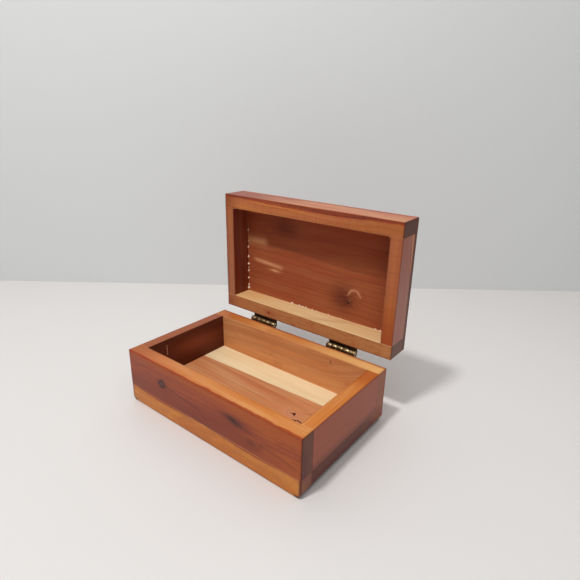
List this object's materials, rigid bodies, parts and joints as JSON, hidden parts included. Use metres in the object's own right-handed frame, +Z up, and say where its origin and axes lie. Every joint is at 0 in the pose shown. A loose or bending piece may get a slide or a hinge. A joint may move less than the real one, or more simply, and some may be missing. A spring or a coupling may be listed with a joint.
{
  "type": "hinged wooden box",
  "caption": "Small rectangular wooden keepsake box with a solid hinged lid, butt-jointed board walls, a thick glued bottom board and brass stop hinges that hold the lid upright.",
  "frame": {"origin": "middle of the box's underside, on the surface that it stands on", "axes": "+X along the length to the right as seen from the front, +Y from the front to the hinges, +Z up"},
  "size_m": [0.165, 0.129, 0.149],
  "materials": {
    "heartwood_front": "satin varnish over red-brown heartwood, straight grain with a knot ring",
    "heartwood_end": "satin varnish over dark red-brown heartwood",
    "tan_back": "bare sanded yellow-tan wood inside, satin varnish outside",
    "sapwood_bottom": "light orange board with a cream sapwood strip, bare inside, varnished outside",
    "lid_wall": "satin varnish over orange-brown wood, fine saw marks on the rim",
    "lid_top": "red-brown board with a knot and paler patches, bare inside, varnished outside",
    "hinge_brass": "aged satin brass, darker in the corners",
    "pin_brass": "satin brass",
    "screw_brass": "satin brass, dark in the slot"
  },
  "bodies": {
    "case": {"body_front_board": "heartwood_front", "body_back_board": "tan_back", "body_left_end": "heartwood_end", "body_right_end": "heartwood_end", "body_bottom_board": "sapwood_bottom", "left_hinge_body_leaf": "hinge_brass", "left_hinge_pin": "pin_brass", "left_hinge_body_screw_1": "screw_brass", "left_hinge_body_screw_2": "screw_brass", "right_hinge_body_leaf": "hinge_brass", "right_hinge_pin": "pin_brass", "right_hinge_body_screw_1": "screw_brass", "right_hinge_body_screw_2": "screw_brass"},
    "lid": {"lid_front_board": "lid_wall", "lid_back_board": "lid_wall", "lid_left_end": "lid_wall", "lid_right_end": "lid_wall", "lid_top_board": "lid_top", "left_hinge_lid_leaf": "hinge_brass", "left_hinge_lid_screw_1": "screw_brass", "left_hinge_lid_screw_2": "screw_brass", "right_hinge_lid_leaf": "hinge_brass", "right_hinge_lid_screw_1": "screw_brass", "right_hinge_lid_screw_2": "screw_brass"}
  },
  "joints": [
    {"name": "lid_hinge", "type": "hinge", "parent": "case", "child": "lid", "pos_m": [0, 0.05486, 0.04335], "axis": [1, 0, 0], "range_deg": [0, 90]}
  ]
}
